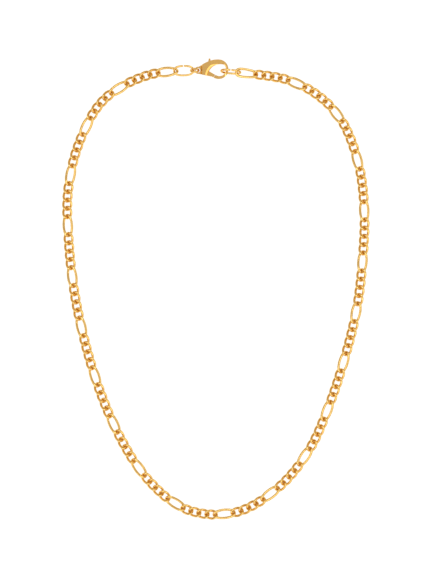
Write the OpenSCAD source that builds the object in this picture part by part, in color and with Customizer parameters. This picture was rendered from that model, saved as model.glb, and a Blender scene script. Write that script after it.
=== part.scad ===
// Figaro neck chain with a lobster clasp, laid flat in a closed egg-shaped loop.
// Four short twisted links follow each long one. The clasp is at the top of the loop (+Y).
// The surface it lies on is z = 0.

/* [Chain links] */
// Thickness of the wire in every chain link
wire_d = 0.95; // [0.88:0.01:1]
// Outer length of a short link
short_len = 5.24; // [5.15:0.01:5.5]
// Outer width of a short link
short_w = 3.92; // [3.8:0.01:4.2]
// Outer length of a long link
long_len = 8.92; // [7.8:0.01:10]
// Outer width of a long link
long_w = 4.05; // [3.8:0.01:4.3]
// How far the two ends of a link are turned out of its middle plane, degrees
link_turn = 47; // [45:1:49]
// Play between two links that hang in each other
link_play = 0.2; // [0.17:0.01:0.24]

/* [Jump rings] */
// Outer length of the two oval jump rings
oval_len = 8.02; // [7.6:0.01:9]
// Outer width of the two oval jump rings
oval_w = 4.5; // [4.3:0.01:5]
// Thickness of the wire in the oval jump rings
oval_wire = 0.78; // [0.6:0.01:0.8]
// Width of the split in each oval jump ring
oval_split = 0.35; // [0.2:0.01:0.8]
// Outer diameter of the small round jump ring
round_d = 3.7; // [3.5:0.01:4]
// Thickness of the wire in the small round jump ring
round_wire = 0.75; // [0.6:0.01:0.8]

/* [Clasp body] */
// Thickness of the clasp at its cheeks
clasp_t = 3.3; // [3.1:0.05:3.8]
// Distance from the centre of the eye to the centre of the hook's curve
hook_reach = 7.8; // [7.5:0.05:8.4]
// How far the hook's centre lies beside the line through the eye
hook_rise = 0.65; // [0.4:0.05:0.9]
// Outer radius of the hook's curve
hook_r = 3.7; // [3.6:0.05:4]
// Width of the hook's bar at its far end
bar_w = 0.9; // [0.7:0.05:0.95]
// Thickness of the hook's bar at its far end
bar_t = 0.9; // [0.7:0.05:0.95]
// Outer radius of the eye
eye_r = 1.35; // [1.3:0.01:1.5]
// Radius of the hole in the eye
eye_hole_r = 0.85; // [0.8:0.01:0.95]
// Thickness of the eye
eye_t = 0.8; // [0.6:0.01:0.9]

/* [Clasp lever] */
// Thickness of the lever
lever_t = 1.2; // [0.8:0.05:1.4]
// Gap between the lever and each cheek
cheek_gap = 0.1; // [0.08:0.01:0.2]
// Radius of the lever's hub
hub_r = 0.8; // [0.7:0.01:0.85]
// Radius of the hinge pin
pin_r = 0.35; // [0.25:0.01:0.4]
// Running clearance of the lever on the pin
pin_run = 0.05; // [0.03:0.01:0.08]
// Gap between the gate and the tip of the hook
gate_gap = 0.12; // [0.08:0.01:0.25]
// How far the thumb tab stands out of the clasp's back
tab_out = 1.0; // [0.6:0.05:1.2]
// Width of the thumb tab at its root
tab_w = 0.9; // [0.6:0.05:1]

/* [Hidden] */
$fn = 64;
gold = [0.86, 0.66, 0.32];
pale_gold = [0.9, 0.74, 0.42];

// The run of the loop, clockwise seen from above, from the eye of the clasp (mm).
// It is scaled to the length that the links and the clasp need.
route_points = [
    [-6.8, 82.9], [12.0, 81.7], [30.6, 78.1], [45.6, 66.8], [53.4, 49.6], [56.1, 30.8],
    [55.5, 11.8], [53.3, -7.1], [48.8, -25.6], [42.9, -43.6], [35.1, -61.0], [23.0, -75.5],
    [6.6, -84.6], [-11.9, -83.0], [-26.5, -71.1], [-36.7, -55.1], [-44.2, -37.6], [-49.7, -19.4],
    [-53.6, -0.8], [-55.7, 18.2], [-56.0, 37.2], [-51.7, 55.7], [-42.3, 72.0], [-25.7, 81.1]
];

// The pattern: one long link, then the short ones, over and over, ending on a long link
shorts_in_group = 4;
group_count = 22;
group_links = shorts_in_group + 1;
link_count = group_count * group_links + 1;
right_links = 55;

// Facets: short links, long links and the wire's section
short_segments = 12;
long_segments = 16;
wire_sides = 5;
ring_segments = 16;
ring_sides = 6;
ring_squareness = 2.5;
link_squareness = 3;

// Half sizes of each wire's centre line
short_a = (short_len - wire_d) / 2;
short_b = (short_w - wire_d) / 2;
long_a = (long_len - wire_d) / 2;
long_b = (long_w - wire_d) / 2;
oval_a = (oval_len - oval_wire) / 2;
oval_b = (oval_w - oval_wire) / 2;
round_a = (round_d - round_wire) / 2;

// Heights above the surface
clasp_z = clasp_t / 2;
chain_z = long_b * sin(link_turn) + wire_d / 2;

// How the odd pieces by the clasp lie: roll about the chain, and the height of their two ends
hook_ring_roll = 72;
hook_ring_z = oval_b * sin(hook_ring_roll) + oval_wire / 2 + 0.02;
hook_ring_lift = 0.1;
eye_ring_roll = 20;
eye_ring_z = clasp_z - 0.2;
eye_ring_lift = 0.2;
round_ring_roll = -62;
round_ring_z = round_a * sin(-round_ring_roll) + round_wire / 2 + 0.02;
first_roll = -20;
first_turn = 25;
last_roll = -5;
last_turn = 52;

// Play of the odd pieces along the chain
catch_play = 1.4;
first_play = 0.7;
last_play = 0.4;
round_play = 0.15;
eye_play = 0.25;

// Stations along the run, from the centre of the eye
short_pitch = 2 * short_a - wire_d - link_play;
mixed_pitch = long_a + short_a - wire_d - link_play;
group_pitch = 2 * mixed_pitch + (shorts_in_group - 1) * short_pitch;
bar_station = hook_reach + hook_r - bar_w / 2;
hook_ring_station = bar_station - bar_w / 2 - catch_play - oval_wire / 2 + oval_a;
first_station = hook_ring_station + oval_a + long_a - (oval_wire + wire_d) / 2 - first_play;
last_station = first_station + group_count * group_pitch;
eye_ring_station = last_station + long_a + oval_a - (oval_wire + wire_d) / 2 - last_play;
round_station = eye_ring_station + oval_a + round_a - (oval_wire + round_wire) / 2 - round_play;
round_from_eye = round_a - (eye_hole_r - round_wire / 2 - eye_play);
loop_length = round_station + round_from_eye;

// A smooth closed curve through the route's points: u counts points from the first
function route_at(u, points) =
    let (n = len(points), i = floor(u), f = u - i,
         a = points[(i + n - 1) % n], b = points[i % n],
         c = points[(i + 1) % n], e = points[(i + 2) % n])
    0.5 * (2 * b + (c - a) * f + (2 * a - 5 * b + 4 * c - e) * f * f
           + (3 * b - a - 3 * c + e) * f * f * f);

// Running length of the curve, one entry per step
route_steps = 10;
route_count = len(route_points);
raw_curve = [for (k = [0 : route_count * route_steps]) route_at(k / route_steps, route_points)];
function running(curve, k = 1, sum = 0, out = [0]) =
    k >= len(curve) ? out
    : let (next = sum + norm(curve[k] - curve[k - 1])) running(curve, k + 1, next, concat(out, [next]));
raw_length = running(raw_curve);
route_scale = loop_length / raw_length[len(raw_length) - 1];
length_table = [for (k = [0 : len(raw_length) - 1]) [raw_length[k] * route_scale, k / route_steps]];

// Point of the run at a station, at height z
function wrapped(s) = s < 0 ? s + loop_length : s > loop_length ? s - loop_length : s;
function station_point(s, z) =
    let (p = route_at(lookup(wrapped(s), length_table), route_points) * route_scale) [p.x, p.y, z];

// Axes of a piece that runs from one point to another: along, outward and up
function unit(v) = v / norm(v);
function axes_between(start, end) =
    let (along = unit(end - start), outward = unit(cross([0, 0, 1], along)))
    [along, outward, cross(along, outward)];
function to_place(p, centre, axes) = centre + p.x * axes[0] + p.y * axes[1] + p.z * axes[2];

// Centre line of a link or ring: a rounded oval whose ends are turned by roll and turn
function rounded_power(v, n) = sign(v) * pow(abs(v), 2 / n);
function turned_angle(x, a, roll, turn) = roll - turn * x / a;
function oval_point(t, a, b, n, roll, turn) =
    let (x = a * rounded_power(cos(t), n), y = b * rounded_power(sin(t), n),
         f = turned_angle(x, a, roll, turn))
    [x, y * cos(f), y * sin(f)];
function oval_points(a, b, n, roll, turn, angles) =
    [for (t = angles) oval_point(t, a, b, n, roll, turn)];

// Points of the wire's skin round a centre line, one ring of points per centre point
function skin_ring(p, tangent, flat_angle, radius, sides) =
    let (face = [0, -sin(flat_angle), cos(flat_angle)],
         side = unit(cross(face, tangent)), top = cross(tangent, side))
    [for (j = [0 : sides - 1])
        let (w = 360 * (j + 0.5) / sides) p + radius * (cos(w) * side + sin(w) * top)];
function closed_skin(line, a, roll, turn, radius, sides) =
    let (n = len(line))
    [for (i = [0 : n - 1])
        let (tangent = unit(line[(i + 1) % n] - line[(i + n - 1) % n]),
             f = turned_angle(line[i].x, a, roll, turn))
        each skin_ring(line[i], tangent, f, radius, sides)];
function open_skin(line, a, roll, turn, radius, sides) =
    let (n = len(line))
    [for (i = [0 : n - 1])
        let (tangent = unit(line[min(i + 1, n - 1)] - line[max(i - 1, 0)]),
             f = turned_angle(line[i].x, a, roll, turn))
        each skin_ring(line[i], tangent, f, radius, sides)];

// Triangles between neighbouring rings of skin points
function band_faces(i, k, sides, first) =
    [for (j = [0 : sides - 1])
        let (m = (j + 1) % sides, a = first + i * sides + j, b = first + i * sides + m,
             c = first + k * sides + m, e = first + k * sides + j)
        each [[a, c, b], [a, e, c]]];
function closed_faces(rings, sides, first) =
    [for (i = [0 : rings - 1]) each band_faces(i, (i + 1) % rings, sides, first)];
function open_faces(rings, sides) =
    concat([for (i = [0 : rings - 2]) each band_faces(i, i + 1, sides, 0)],
           [[for (j = [0 : sides - 1]) j]],
           [[for (j = [sides - 1 : -1 : 0]) (rings - 1) * sides + j]]);

// A radius that gives a few-sided wire the same section area as the round one
function full_radius(d, sides) = d / 2 * sqrt(PI / (sides / 2 * sin(360 / sides)));

// Kind, station and lie of each chain link
function is_long(i) = i % group_links == 0;
function link_station(i) =
    let (k = i % group_links)
    first_station + floor(i / group_links) * group_pitch
    + (k == 0 ? 0 : mixed_pitch + (k - 1) * short_pitch);
function link_roll(i) = i == 0 ? first_roll : i == link_count - 1 ? last_roll : 0;
function link_turned(i) = i == 0 ? first_turn : i == link_count - 1 ? last_turn : link_turn;
function rear_z(i) = i == 0 ? hook_ring_z : chain_z;
function front_z(i) = i == link_count - 1 ? eye_ring_z - eye_ring_lift / 2 : chain_z;

function link_skin(i) =
    let (a = is_long(i) ? long_a : short_a,
         b = is_long(i) ? long_b : short_b,
         segments = is_long(i) ? long_segments : short_segments,
         start = station_point(link_station(i) - a, rear_z(i)),
         end = station_point(link_station(i) + a, front_z(i)),
         axes = axes_between(start, end),
         angles = [for (k = [0 : segments - 1]) 360 * (k + 0.5) / segments],
         line = oval_points(a, b, link_squareness, link_roll(i), link_turned(i), angles),
         radius = full_radius(wire_d, wire_sides))
    [for (p = closed_skin(line, a, link_roll(i), link_turned(i), radius, wire_sides))
        to_place(p, (start + end) / 2, axes)];
function link_rings(i) = is_long(i) ? long_segments : short_segments;

// Index of each link's first skin point in one long list
function first_points(from, to, i, sum = 0, out = []) =
    i > to ? out
    : first_points(from, to, i + 1, sum + link_rings(i) * wire_sides, concat(out, [sum]));

// A run of links, each a closed ring of its own that hangs in its neighbours
module chain_run(from, to) {
    starts = first_points(from, to, from);
    points = [for (i = [from : to]) each link_skin(i)];
    faces = [for (i = [from : to]) each closed_faces(link_rings(i), wire_sides, starts[i - from])];
    polyhedron(points = points, faces = faces, convexity = 10);
}

module chain_right() {
    color(gold) chain_run(0, right_links - 1);
}

module chain_left() {
    color(gold) chain_run(right_links, link_count - 1);
}

// An oval jump ring with its split in the middle of its outer side
module oval_ring(station, z, lift, roll) {
    start = station_point(station - oval_a, z - lift / 2);
    end = station_point(station + oval_a, z + lift / 2);
    axes = axes_between(start, end);
    half_split = asin(pow(oval_split / 2 / oval_a, ring_squareness / 2));
    from = 90 + half_split;
    to = 450 - half_split;
    angles = [for (k = [0 : ring_segments]) from + (to - from) * k / ring_segments];
    line = oval_points(oval_a, oval_b, ring_squareness, roll, 0, angles);
    radius = full_radius(oval_wire, ring_sides);
    skin = open_skin(line, oval_a, roll, 0, radius, ring_sides);
    polyhedron(points = [for (p = skin) to_place(p, (start + end) / 2, axes)],
               faces = open_faces(len(line), ring_sides), convexity = 6);
}

module oval_ring_hook() {
    color(pale_gold) oval_ring(hook_ring_station, hook_ring_z, hook_ring_lift, hook_ring_roll);
}

module oval_ring_eye() {
    color(pale_gold) oval_ring(eye_ring_station, eye_ring_z, eye_ring_lift, eye_ring_roll);
}

// The small round ring stands nearly upright through the eye and the oval ring
module round_ring() {
    start = station_point(round_station - round_a, round_ring_z);
    end = station_point(round_station + round_a, round_ring_z);
    axes = axes_between(start, end);
    angle = atan2(axes[0].y, axes[0].x);
    color(pale_gold)
        translate((start + end) / 2)
            rotate([round_ring_roll, 0, angle])
                rotate_extrude()
                    translate([round_a, 0]) circle(d = round_wire);
}

// The clasp's own frame: origin at the eye's centre, x towards the hook, back of the clasp at +y
clasp_start = station_point(0, 0);
clasp_end = station_point(bar_station, 0);
clasp_angle = atan2(clasp_end.y - clasp_start.y, clasp_end.x - clasp_start.x);
module in_clasp_frame() {
    translate([clasp_start.x, clasp_start.y, clasp_z]) rotate(clasp_angle) children();
}

// Places in the clasp's frame
hook_centre = [hook_reach, hook_rise];
back_top = hook_rise + hook_r;
pivot = [0.314 * hook_reach, 0.46 * hook_rise];
hole_offset = 0.08 * hook_r;
hole_r = hook_r - bar_w - hole_offset;
hole_centre = hook_centre + [hole_offset, -0.027 * hook_r];
front_centre = hook_centre + [0.216, -0.81] * hook_r;
front_r = 1.338 * hook_r;
seam = hook_centre + [-0.392, -0.743] * hook_r;
seam_r = norm(seam - pivot);
belly = [0.455 * hook_reach, hook_rise - 0.7 * hook_r];

// The clasp's thickness along x: a thin eye, full cheeks, then a taper down to the bar
eye_end = eye_hole_r + 0.25;
web_start = eye_r + 0.2;
full_end = hook_reach - 0.865 * hook_r;
bar_start = hook_reach + hook_r - bar_w;
bevel_end = hook_reach - 0.054 * hook_r;
bevel_w = 0.243 * hook_r;
bevel_z = clasp_z - (clasp_z - bar_t / 2) * (bevel_end - full_end) / (bar_start - full_end);

// A curve from four control points
function curve_at(p, f) =
    pow(1 - f, 3) * p[0] + 3 * f * pow(1 - f, 2) * p[1] + 3 * f * f * (1 - f) * p[2] + pow(f, 3) * p[3];
back_curve = [
    [0.1 * eye_r, 0.98 * eye_r],
    [0.26 * hook_reach, 0.65 * hook_r],
    [0.54 * hook_reach, back_top],
    [hook_reach, back_top]
];
back_steps = 12;

web_outline = concat(
    [for (k = [0 : back_steps]) curve_at(back_curve, k / back_steps)],
    [hook_centre, belly + [0.35, 0.054] * hook_r, belly, [0.1 * eye_r, -0.98 * eye_r]]
);

// The clasp as a plate with no openings: eye, web and hook
module clasp_plate() {
    cylinder(r = eye_r, h = clasp_t, center = true);
    translate(hook_centre) cylinder(r = hook_r, h = clasp_t, center = true);
    translate([0, 0, -clasp_z]) linear_extrude(clasp_t) polygon(web_outline);
}

// Half of the clasp's thickness along x: thin eye, full cheeks, tapered hook
module clasp_side() {
    above = [
        [-2 * eye_r, eye_t / 2], [eye_end, eye_t / 2], [web_start, clasp_z],
        [full_end, clasp_z], [bar_start, bar_t / 2], [bar_start + 2 * bar_w, bar_t / 2]
    ];
    below = [for (k = [len(above) - 1 : -1 : 0]) [above[k].x, -above[k].y]];
    polygon(concat(above, below));
}

// Open space inside the hook, and its mouth out to the tip
module hook_space() {
    intersection() {
        translate(front_centre) circle(front_r);
        union() {
            translate(hole_centre) circle(hole_r);
            translate(pivot) circle(seam_r);
        }
    }
}

// Slot between the cheeks that the lever turns in
slot_end = full_end + 0.16 * hook_r;
slot_space = [
    [web_start, -hook_r], [slot_end, -hook_r], [slot_end, hook_rise + 0.15 * hook_r],
    [full_end + 0.08 * hook_r, hook_rise + 0.635 * hook_r],
    [full_end + 0.08 * hook_r, 2 * hook_r], [web_start, 2 * hook_r]
];
pin_seat = 0.01;

// The hinge pin ends inside the cheeks, so no hole shows on their faces
pin_cap = 0.3;
pin_len = clasp_t - 2 * pin_cap;

module clasp_body() {
    depth = 3 * hook_r;
    slot_t = lever_t + 2 * cheek_gap;
    color(gold) in_clasp_frame() difference() {
        intersection() {
            clasp_plate();
            rotate([90, 0, 0]) translate([0, 0, -depth]) linear_extrude(2 * depth) clasp_side();
        }
        translate([0, 0, -clasp_t]) cylinder(r = eye_hole_r, h = 2 * clasp_t);
        translate([0, 0, -clasp_t]) linear_extrude(2 * clasp_t) hook_space();
        translate([0, 0, -slot_t / 2]) linear_extrude(slot_t) polygon(slot_space);
        translate([pivot.x, pivot.y, -pin_len / 2 - pin_seat])
            cylinder(r = pin_r + pin_seat, h = pin_len + 2 * pin_seat);
        for (side = [0, 1])
            mirror([0, 0, side]) translate([front_centre.x, front_centre.y, bevel_z])
                cylinder(r1 = front_r, r2 = front_r + 2 * bevel_w, h = 2 * (clasp_z - bevel_z));
    }
}

// Outline of the lever: the gate's points round the hook's centre, and the thumb arm up to its tab
gate = [
    pivot + [0.375, 0.75] * hub_r,
    hook_centre + [-0.97, -0.23] * hook_r,
    hook_centre + [-0.405, -0.549] * hook_r,
    hook_centre + [-0.05, -0.72] * hook_r,
    hook_centre + [-0.11, -1.04] * hook_r,
    hook_centre + [-0.68, -0.78] * hook_r,
    hook_centre + [-1.22, -0.69] * hook_r,
    pivot + [-0.375, -0.8] * hub_r
];
tab_x = 0.54 * hook_reach;
tab_top = back_top - 0.2 * hook_r + tab_out;
thumb_arm = [
    pivot + [-0.7, 0.4] * hub_r,
    [tab_x - tab_w, back_top - 0.36 * hook_r],
    [tab_x - tab_w / 2, back_top - 0.23 * hook_r],
    [tab_x - tab_w / 3, tab_top],
    [tab_x + tab_w / 3, tab_top],
    [tab_x + tab_w / 2, back_top - 0.28 * hook_r],
    [tab_x - tab_w / 9, back_top - 0.53 * hook_r],
    pivot + [0.7, 0.4] * hub_r
];

module clasp_lever() {
    color(gold) in_clasp_frame() difference() {
        union() {
            translate([pivot.x, pivot.y, -lever_t / 2]) cylinder(r = hub_r, h = lever_t);
            translate([0, 0, -lever_t / 2]) linear_extrude(lever_t) intersection() {
                polygon(gate);
                translate(pivot) circle(seam_r - gate_gap);
            }
            translate([0, 0, -lever_t / 2]) linear_extrude(lever_t) polygon(thumb_arm);
        }
        translate([pivot.x, pivot.y, -lever_t]) cylinder(r = pin_r + pin_run, h = 2 * lever_t);
    }
}

module clasp_pin() {
    color(pale_gold) in_clasp_frame()
        translate([pivot.x, pivot.y, -pin_len / 2]) cylinder(r = pin_r, h = pin_len);
}

chain_right();
chain_left();
oval_ring_hook();
oval_ring_eye();
round_ring();
clasp_body();
clasp_lever();
clasp_pin();
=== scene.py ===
# Gold figaro chain with a lobster clasp, laid in a closed loop on a white table
import math

import bpy
import numpy as np
from mathutils import Matrix, Vector


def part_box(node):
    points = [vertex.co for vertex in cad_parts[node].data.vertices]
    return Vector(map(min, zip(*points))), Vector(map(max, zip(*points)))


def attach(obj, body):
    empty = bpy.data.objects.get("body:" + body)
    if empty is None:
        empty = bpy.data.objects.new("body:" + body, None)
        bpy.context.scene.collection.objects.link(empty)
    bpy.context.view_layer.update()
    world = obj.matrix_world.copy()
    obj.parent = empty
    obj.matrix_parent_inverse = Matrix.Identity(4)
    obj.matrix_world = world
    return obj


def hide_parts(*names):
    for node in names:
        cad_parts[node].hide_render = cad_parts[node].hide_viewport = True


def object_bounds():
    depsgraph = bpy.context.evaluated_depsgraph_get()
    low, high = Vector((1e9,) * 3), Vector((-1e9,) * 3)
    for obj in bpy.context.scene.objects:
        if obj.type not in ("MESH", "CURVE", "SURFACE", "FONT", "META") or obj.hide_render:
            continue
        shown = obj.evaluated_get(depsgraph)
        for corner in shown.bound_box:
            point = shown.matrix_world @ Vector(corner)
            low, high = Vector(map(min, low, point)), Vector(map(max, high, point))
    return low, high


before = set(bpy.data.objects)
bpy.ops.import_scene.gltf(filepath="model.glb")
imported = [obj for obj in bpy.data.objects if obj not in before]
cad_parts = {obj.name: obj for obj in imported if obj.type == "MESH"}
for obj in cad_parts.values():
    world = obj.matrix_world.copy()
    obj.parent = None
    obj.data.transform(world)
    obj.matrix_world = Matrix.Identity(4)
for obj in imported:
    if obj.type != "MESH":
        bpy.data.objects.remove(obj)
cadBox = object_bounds()
mm = 0.001  # new wire is modelled in millimetres, and placeMatrix shrinks it to metres
weldGap = 0.000001  # metres, corners of a loaded node that lie nearer than this are one


# Small helpers for selecting, shaping and placing

def deselectAll():
    if bpy.context.mode != "OBJECT":
        bpy.ops.object.mode_set(mode="OBJECT")
    bpy.ops.object.select_all(action="DESELECT")


def pick(things):
    deselectAll()
    for thing in things:
        thing.select_set(True)
    bpy.context.view_layer.objects.active = things[0]
    return things[0]


def editMesh(thing, mode="VERT"):
    pick([thing])
    bpy.ops.object.mode_set(mode="EDIT")
    bpy.ops.mesh.select_mode(type=mode)
    bpy.ops.mesh.select_all(action="DESELECT")


def selectFaces(thing, test):
    # faces whose middle passes the test, chosen from inside edit mode
    bpy.ops.mesh.select_mode(type="FACE")
    bpy.ops.mesh.select_all(action="DESELECT")
    bpy.ops.object.mode_set(mode="OBJECT")
    for face in thing.data.polygons:
        face.select = test(face.center)
    bpy.ops.object.mode_set(mode="EDIT")


def freeze(thing):
    # its place goes into the mesh, as on the loaded nodes
    pick([thing])
    bpy.ops.object.transform_apply(location=True, rotation=True, scale=True)


def shadeSmooth(thing, angle):
    pick([thing])
    bpy.ops.object.shade_smooth_by_angle(angle=math.radians(angle))


def copyOf(thing, name):
    twin = thing.copy()
    twin.data = thing.data.copy()
    twin.name = name
    bpy.context.scene.collection.objects.link(twin)
    return twin


def joinAll(things, name):
    piece = pick(things)
    bpy.ops.object.join()
    piece.name = name
    piece.data.name = name
    freeze(piece)
    return piece


def discard(things):
    for thing in things:
        bpy.data.objects.remove(thing, do_unlink=True)


def pointsOf(thing):
    points = np.zeros(len(thing.data.vertices) * 3)
    thing.data.vertices.foreach_get("co", points)
    return points.reshape(-1, 3)


def lieOf(points):
    # middle, size and axes of an oval ring: x along its length, y across, z out of its plane
    middle = points.mean(axis=0)
    _, axes = np.linalg.eigh(np.cov((points - middle).T))
    along = Vector(axes[:, 2])  # the widest spread comes last
    across = Vector(axes[:, 1])
    if across.dot(Vector(middle)) < 0:
        across.negate()  # outwards from the middle of the loop
    up = along.cross(across)
    turn = Matrix((along, across, up)).transposed()
    local = (points - middle) @ np.array(turn)
    low = local.min(axis=0)
    high = local.max(axis=0)
    centre = Vector(middle) + turn @ Vector((low + high) / 2)
    size = Vector(high - low)
    return centre, size, turn


def placeMatrix(centre, turn):
    # from a wire modelled about the origin in millimetres to its place in metres
    return Matrix.Translation(centre) @ turn.to_4x4() @ Matrix.Scale(mm, 4)


# Wire bent into an oval

def addOval(name, length, width, wire, fullness, steps, sides, endSwell=1):
    bpy.ops.curve.primitive_bezier_circle_add(radius=1)
    ring = bpy.context.object
    for point in ring.data.splines[0].bezier_points:
        point.handle_left_type = "FREE"
        point.handle_right_type = "FREE"
        roundHandle = (point.handle_right - point.co).length
        point.handle_left = point.co + (point.handle_left - point.co) * fullness / roundHandle
        point.handle_right = point.co + (point.handle_right - point.co) * fullness / roundHandle
    ring.scale = ((length - wire * endSwell) / 2, (width - wire) / 2, 1)
    freeze(ring)
    for point in ring.data.splines[0].bezier_points:
        atEnd = abs(point.co.x) > abs(point.co.y)
        point.radius = endSwell if atEnd else 1  # the scale had changed it too
    ring.data.resolution_u = steps
    ring.data.bevel_depth = wire / 2
    ring.data.bevel_resolution = (sides - 4) // 2  # 0 is a square wire, and each step adds two sides
    pick([ring])
    bpy.ops.object.convert(target="MESH")
    ring = bpy.context.object
    ring.name = name
    return ring


def twistLink(ring, length, wire, turn):
    # the two ends turn opposite ways about the link's long axis
    twist = ring.modifiers.new("twist", "SIMPLE_DEFORM")
    twist.deform_method = "TWIST"
    twist.deform_axis = "X"
    twist.angle = -2 * math.radians(turn) * length / (length - wire)
    pick([ring])
    bpy.ops.object.modifier_apply(modifier=twist.name)


link = {
    "short": {"length": 5.24, "width": 3.92, "steps": 12},
    "long": {"length": 8.92, "width": 4.05, "steps": 16},
    "wire": 0.95,
    "endSwell": 1.102,  # the wire is worked thicker where two links meet
    "fullness": 0.83,   # 0.552 is an ellipse, more is squarer
    "sides": 12,
    "turn": 46,         # degrees, each end out of the middle plane
    "firstTurn": 25,    # the same for the long link in the ring at the hook
    "lastTurn": 52,     # and for the one in the ring at the eye
    "smoothAngle": 60,
    "endReach": 10.6,   # a long link this near to the middle of an oval ring hangs in it
}


def addLink(size, turn):
    ring = addOval("link", size["length"], size["width"], link["wire"], link["fullness"],
                   size["steps"], link["sides"], link["endSwell"])
    twistLink(ring, size["length"], link["wire"], turn)
    shadeSmooth(ring, link["smoothAngle"])
    return ring


def looseParts(node):
    # the separate links of a loaded node, as throwaway copies
    twin = copyOf(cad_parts[node], node + "_guide")
    twin.parent = None
    editMesh(twin)
    bpy.ops.mesh.select_all(action="SELECT")
    bpy.ops.mesh.remove_doubles(threshold=weldGap)
    bpy.ops.mesh.separate(type="LOOSE")
    bpy.ops.object.mode_set(mode="OBJECT")
    return list(bpy.context.selected_objects)


def dressChain(node, name, models, ringPlaces):
    guides = looseParts(node)
    lies = [lieOf(pointsOf(guide)) for guide in guides]
    discard(guides)
    middleLength = (link["short"]["length"] + link["long"]["length"]) / 2 * mm
    pieces = []
    for centre, size, turn in lies:
        kind = "long" if size.x > middleLength else "short"
        for end, place in ringPlaces.items():
            if kind == "long" and (centre - place).length < link["endReach"] * mm:
                kind = end
        twin = copyOf(models[kind], name)
        twin.matrix_world = placeMatrix(centre, turn)
        pieces.append(twin)
    chain = joinAll(pieces, name)
    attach(chain, "necklace")
    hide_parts(node)
    print(name, len(lies), "links")
    return chain


ringPlaces = {}
for end, node in (("first", "oval_ring_hook"), ("last", "oval_ring_eye")):
    low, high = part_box(node)
    ringPlaces[end] = (low + high) / 2

models = {
    "short": addLink(link["short"], link["turn"]),
    "long": addLink(link["long"], link["turn"]),
    "first": addLink(link["long"], link["firstTurn"]),
    "last": addLink(link["long"], link["lastTurn"]),
}
chainRight = dressChain("chain_right", "chain_right_links", models, ringPlaces)
chainLeft = dressChain("chain_left", "chain_left_links", models, ringPlaces)
discard(list(models.values()))


# Jump rings

jumpRing = {
    "length": 8.02,
    "width": 4.5,
    "wire": 0.78,
    "split": 0.35,
    "fullness": 0.688,
    "steps": 20,
    "sides": 16,
    "smoothAngle": 40,
    "cutReach": 1.05,    # the faces this near to the split are cut for it
    "onCut": 0.0001,     # edges this near to the cut's plane lie on it
    "endBevel": 0.06,
    "endSegments": 2,
    "roundOuter": 3.7,   # the small round ring
    "roundWire": 0.75,
    "roundFullness": 0.552,
    "roundSteps": 10,
}


def layRing(ring, node):
    # a finished ring goes where the loaded node lies
    centre, _, turn = lieOf(pointsOf(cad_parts[node]))
    ring.matrix_world = placeMatrix(centre, turn)
    freeze(ring)
    shadeSmooth(ring, jumpRing["smoothAngle"])
    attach(ring, "necklace")
    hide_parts(node)
    print(ring.name, "done")
    return ring


def addSplitRing(node, name):
    ring = addOval(name, jumpRing["length"], jumpRing["width"], jumpRing["wire"],
                   jumpRing["fullness"], jumpRing["steps"], jumpRing["sides"])
    cuts = (-jumpRing["split"] / 2, jumpRing["split"] / 2)
    editMesh(ring)
    for cut in cuts:
        selectFaces(ring, lambda middle: middle.y > 0 and abs(middle.x) < jumpRing["cutReach"])
        bpy.ops.mesh.bisect(plane_co=(cut, 0, 0), plane_no=(1, 0, 0))
    selectFaces(ring, lambda middle: middle.y > 0 and abs(middle.x) < jumpRing["split"] / 2)
    bpy.ops.mesh.delete(type="FACE")
    for cut in cuts:  # each end of the wire is closed and its edge is rounded
        bpy.ops.mesh.select_mode(type="EDGE")
        bpy.ops.mesh.select_all(action="DESELECT")
        bpy.ops.object.mode_set(mode="OBJECT")
        for edge in ring.data.edges:
            ends = [ring.data.vertices[index].co for index in edge.vertices]
            edge.select = all(abs(point.x - cut) < jumpRing["onCut"] and point.y > 0 for point in ends)
        bpy.ops.object.mode_set(mode="EDIT")
        bpy.ops.mesh.edge_face_add()
        bpy.ops.mesh.bevel(offset=jumpRing["endBevel"], segments=jumpRing["endSegments"])
    bpy.ops.mesh.select_all(action="SELECT")
    bpy.ops.mesh.normals_make_consistent(inside=False)
    bpy.ops.object.mode_set(mode="OBJECT")
    return layRing(ring, node)


def addRoundRing(node, name):
    ring = addOval(name, jumpRing["roundOuter"], jumpRing["roundOuter"], jumpRing["roundWire"],
                   jumpRing["roundFullness"], jumpRing["roundSteps"], jumpRing["sides"])
    return layRing(ring, node)


ovalHook = addSplitRing("oval_ring_hook", "oval_ring_hook_wire")
ovalEye = addSplitRing("oval_ring_eye", "oval_ring_eye_wire")
smallRing = addRoundRing("round_ring", "round_ring_wire")


# Clasp

clasp = {
    "turn": -1.98,             # degrees, of the clasp about its eye
    "pinFromEye": (2.45, 0.3),
    "holeFromEye": (8.096, 0.55),
    "rimGap": (6.4, 8.7),      # the inner rim is left sharp between these, along the clasp
    "rimLow": 0.2,             # and below this on the hook's far side
    "rimRound": 0.26,
    "rimSegments": 11,
    "wallSlope": 0.25,         # the upward share of a normal: an upright wall has less than this,
    "topSlope": 0.8,           # a face seen from above has more than this,
    "bevelSlope": 0.93,        # and the wide bevel less than this
    "edgeRound": 0.08,
    "edgeSegments": 3,
    "edgeAngle": 18,           # edges sharper than this are rounded
    "flatAngle": 1.0,          # faces closer than this are one flat face
    "creaseAngle": 9,
}


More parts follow.
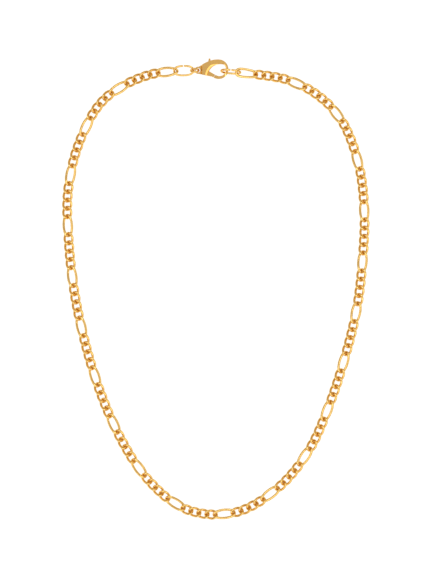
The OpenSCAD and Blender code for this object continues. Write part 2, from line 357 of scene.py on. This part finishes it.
def roundRim(piece):
    # the hook's inner rim, below its wide bevel and where it curves back towards the gate
    low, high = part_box("clasp_pin")
    intoClasp = Matrix.Rotation(math.radians(-clasp["turn"]), 3, "Z")
    eye = (low + high) / 2 / mm - intoClasp.transposed() @ Vector((*clasp["pinFromEye"], 0))
    hole = Vector((*clasp["holeFromEye"], 0))
    editMesh(piece, "EDGE")
    bpy.ops.object.mode_set(mode="OBJECT")
    normals = {}
    for face in piece.data.polygons:
        for key in face.edge_keys:
            normals.setdefault(key, []).append(face.normal.copy())
    for edge in piece.data.edges:
        ends = [intoClasp @ (piece.data.vertices[index].co / mm - eye) for index in edge.vertices]
        middle = (ends[0] + ends[1]) / 2
        slopes = sorted(abs(normal.z) for normal in normals[edge.key])
        wall = min(normals[edge.key], key=lambda normal: abs(normal.z))
        inward = (intoClasp @ wall).dot(middle - hole) < 0
        onRim = inward and slopes[0] < clasp["wallSlope"] and slopes[-1] > clasp["topSlope"]
        bevelled = slopes[-1] < clasp["bevelSlope"] and middle.x < clasp["rimGap"][0]
        beyond = middle.x > clasp["rimGap"][1] and middle.y > clasp["rimLow"]
        edge.select = onRim and (bevelled or beyond)
    bpy.ops.object.mode_set(mode="EDIT")
    bpy.ops.mesh.bevel(offset=clasp["rimRound"] * mm, segments=clasp["rimSegments"])
    bpy.ops.object.mode_set(mode="OBJECT")


def workedCopy(node, name, body):
    # a clean copy of a loaded node with its edges rounded as tumbling leaves them
    piece = copyOf(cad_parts[node], name)
    piece.parent = None
    editMesh(piece)
    bpy.ops.mesh.select_all(action="SELECT")
    bpy.ops.mesh.remove_doubles(threshold=weldGap)
    bpy.ops.mesh.dissolve_limited(angle_limit=math.radians(clasp["flatAngle"]))
    bpy.ops.object.mode_set(mode="OBJECT")
    if node == "clasp_body":
        roundRim(piece)
    shadeSmooth(piece, clasp["creaseAngle"])  # before the rounding, so that the flats stay flat
    rounding = piece.modifiers.new("rounding", "BEVEL")
    rounding.width = clasp["edgeRound"] * mm
    rounding.segments = clasp["edgeSegments"]
    rounding.limit_method = "ANGLE"
    rounding.angle_limit = math.radians(clasp["edgeAngle"])
    rounding.miter_outer = "MITER_ARC"
    rounding.harden_normals = True
    pick([piece])
    bpy.ops.object.modifier_apply(modifier=rounding.name)
    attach(piece, body)
    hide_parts(node)
    print(name, len(piece.data.polygons), "faces")
    return piece


claspBody = workedCopy("clasp_body", "clasp_body_cast", "necklace")
claspLever = workedCopy("clasp_lever", "clasp_lever_cast", "lever")


# Materials

class Output:
    # an output of a shader node, which adds a Math node when it is used in a sum or product
    def __init__(self, paint, socket):
        self.paint = paint
        self.socket = socket

    def math(self, operation, first, second):
        return self.paint.add("Math", {"operation": operation}, {0: first, 1: second})

    def __add__(self, other):
        return self.math("ADD", self, other)

    __radd__ = __add__

    def __sub__(self, other):
        return self.math("SUBTRACT", self, other)

    def __rsub__(self, other):
        return self.math("SUBTRACT", other, self)

    def __mul__(self, other):
        return self.math("MULTIPLY", self, other)

    __rmul__ = __mul__


class Paint:
    # nodes that feed one shader, of a material or of the sky
    def __init__(self, owner, shader):
        self.material = owner
        owner.use_nodes = True
        self.tree = owner.node_tree
        self.shader = self.tree.nodes[shader]

    def add(self, kind, settings, values, output=0):
        node = self.tree.nodes.new("ShaderNode" + kind)
        for key, value in settings.items():
            if key == "stops":
                self.setStops(node.color_ramp, value)
            else:
                setattr(node, key, value)
        for key, value in values.items():
            self.feed(node.inputs[key], value)
        return Output(self, node.outputs[output])

    def setStops(self, ramp, stops):
        while len(ramp.elements) < len(stops):
            ramp.elements.new(1.0)  # each gets its own place below
        for element, (place, colour) in zip(ramp.elements, stops):
            element.position = place
            element.color = (*colour, 1)

    def feed(self, socket, value):
        if isinstance(value, Output):
            self.tree.links.new(value.socket, socket)
        else:
            socket.default_value = value

    def set(self, **values):
        for key, value in values.items():
            self.feed(self.shader.inputs[key.replace("_", " ")], value)

    def mix(self, factor, first, second):
        return self.add("Mix", {"data_type": "RGBA"}, {0: factor, 6: (*first, 1), 7: (*second, 1)}, 2)

    def noise(self, place, scale, detail):
        return self.add("TexNoise", {}, {"Vector": place, "Scale": scale, "Detail": detail})


gold = {
    "chain": {"light": (0.82, 0.59, 0.235), "deep": (0.79, 0.51, 0.13), "rough": 0.12, "relief": 0.7},
    "rings": {"light": (0.83, 0.57, 0.2), "deep": (0.8, 0.52, 0.15), "rough": 0.12, "relief": 0.5},
    "clasp": {"light": (0.87, 0.52, 0.16), "deep": (0.85, 0.49, 0.14), "rough": 0.06, "relief": 0.02},
    "edgeTint": (1.0, 0.94, 0.75, 1),
    "tone": (0.35, 3),        # patches to a millimetre, and their detail
    "wear": (2.2, 4),
    "dents": (1.1, 1),
    "dentDepth": 0.00002,
    "dentStrength": 0.6,
    "scratches": (1.0, 3),
    "scratchTurn": (0.3, 0.2, 0.7),
    "scratchScale": (900, 9000, 9000),  # ten times as long as they are wide
    "scratchDepth": 0.000004,
    "scratchStrength": 0.35,
    "scratchPolish": 0.5,     # how much they take from the polish, beside the wear
}


def goldPaint(name, light, deep, rough, relief):
    paint = Paint(bpy.data.materials.new(name), "Principled BSDF")
    paint.material.diffuse_color = (*light, 1)
    place = paint.add("TexCoord", {}, {}, "Object")
    inMm = paint.add("Mapping", {}, {"Vector": place, "Scale": (1 / mm, 1 / mm, 1 / mm)})
    brushed = paint.add("Mapping", {}, {"Vector": place, "Rotation": gold["scratchTurn"],
                                        "Scale": gold["scratchScale"]})
    tone = paint.noise(inMm, *gold["tone"])
    wear = paint.noise(inMm, *gold["wear"])
    scratches = paint.noise(brushed, *gold["scratches"])
    dents = paint.noise(inMm, *gold["dents"])
    polish = rough + (wear - 0.5) * rough + (scratches - 0.5) * (rough * gold["scratchPolish"])
    fine = paint.add("Bump", {}, {"Height": scratches, "Strength": gold["scratchStrength"] * relief,
                                  "Distance": gold["scratchDepth"]})
    coarse = paint.add("Bump", {}, {"Height": dents, "Strength": gold["dentStrength"] * relief,
                                    "Distance": gold["dentDepth"], "Normal": fine})
    paint.set(Base_Color=paint.mix(tone, light, deep), Metallic=1.0, Roughness=polish,
              Specular_Tint=gold["edgeTint"], Normal=coarse)
    return paint.material


def dress(piece, material):
    piece.data.materials.clear()
    piece.data.materials.append(material)


chainGold = goldPaint("chain_gold", **gold["chain"])
ringGold = goldPaint("ring_gold", **gold["rings"])
claspGold = goldPaint("clasp_gold", **gold["clasp"])
for piece in (chainRight, chainLeft):
    dress(piece, chainGold)
for piece in (ovalHook, ovalEye, smallRing):
    dress(piece, ringGold)
for piece in (claspBody, claspLever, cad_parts["clasp_pin"]):
    dress(piece, claspGold)
print("materials done")


# Table, lights and camera

stage = {
    "tableSize": 3.0,
    "tableCuts": 3,
    "tableDrop": 0.00002,  # below the lowest point of the chain
    "tableColour": (0.15, 0.15, 0.15, 1),
    "tableRough": 0.9,
    "tableGlow": 0.94,
    # the surroundings by height, from a warm dark horizon up to the dark camera in its ring of light
    "sky": ((0.0, (0.14, 0.05, 0.01)), (0.26, (0.44, 0.18, 0.04)), (0.46, (0.74, 0.56, 0.36)),
            (0.75, (0.74, 0.72, 0.70)), (0.938, (0.76, 0.76, 0.76)), (0.95, (2.4, 2.4, 2.4)),
            (0.983, (2.4, 2.4, 2.4)), (0.989, (0.74, 0.74, 0.74)), (1.0, (0.73, 0.73, 0.73))),
    # place in metres, width, height, radiance
    "softboxes": {
        "keyLight": ((0.42, 0.36, 0.82), 0.2, 0.36, 3.4),
        "backLight": ((-0.36, -0.36, 0.86), 0.4, 0.4, 1.8),
        "windowLight": ((0.1, -0.95, 0.5), 1.5, 0.36, 1.35),
        "eastLight": ((0.98, -0.3, 0.52), 1.1, 0.36, 1.15),
        "sideLight": ((-1.0, -0.36, 0.22), 1.2, 0.3, 1.6),
    },
}
photo = {
    "mmPerPixel": 0.379,
    "width": 434,
    "height": 579,
    "originPixel": (216.0, 289.5),
    "distance": 1.6,
    "sensor": 24,
    "clipEnd": 20,
}

bpy.ops.mesh.primitive_plane_add(size=stage["tableSize"], location=(0, 0, 0))
table = bpy.context.object
table.name = "table"
editMesh(table)
bpy.ops.mesh.select_all(action="SELECT")
bpy.ops.mesh.subdivide(number_cuts=stage["tableCuts"])
bpy.ops.object.mode_set(mode="OBJECT")
table.location.z = min(0.0, cadBox[0][2]) - stage["tableDrop"]
freeze(table)
tablePaint = Paint(bpy.data.materials.new("white_table"), "Principled BSDF")
tablePaint.set(Base_Color=stage["tableColour"], Roughness=stage["tableRough"],
               Emission_Color=(1, 1, 1, 1), Emission_Strength=stage["tableGlow"])
dress(table, tablePaint.material)

sky = Paint(bpy.data.worlds.new("studio"), "Background")
bpy.context.scene.world = sky.material
skyHeight = sky.add("SeparateXYZ", {}, {0: sky.add("TexCoord", {}, {}, "Generated")}, 2)
sky.set(Color=sky.add("ValToRGB", {"stops": stage["sky"]}, {0: skyHeight}))


def addSoftbox(name, place, width, height, radiance):
    bpy.ops.object.light_add(type="AREA", location=place)
    lamp = bpy.context.object
    lamp.name = name
    lamp.data.shape = "RECTANGLE"
    lamp.data.size = width
    lamp.data.size_y = height
    lamp.data.energy = radiance * math.pi * width * height  # watts
    lamp.rotation_euler = Vector(place).to_track_quat("Z", "Y").to_euler()


for name, (place, width, height, radiance) in stage["softboxes"].items():
    addSoftbox(name, place, width, height, radiance)

bpy.ops.object.camera_add(rotation=(0, 0, 0))
camera = bpy.context.object
camera.name = "photoCamera"
pixel = photo["mmPerPixel"] * mm
camera.location = ((photo["width"] / 2 - photo["originPixel"][0]) * pixel,
                   (photo["originPixel"][1] - photo["height"] / 2) * pixel, photo["distance"])
camera.data.sensor_fit = "VERTICAL"
camera.data.sensor_height = photo["sensor"]
camera.data.lens = photo["sensor"] * photo["distance"] / (photo["height"] * pixel)
camera.data.clip_end = photo["clipEnd"]
bpy.context.scene.camera = camera
bpy.context.scene.view_settings.view_transform = "Standard"
print("stage done")
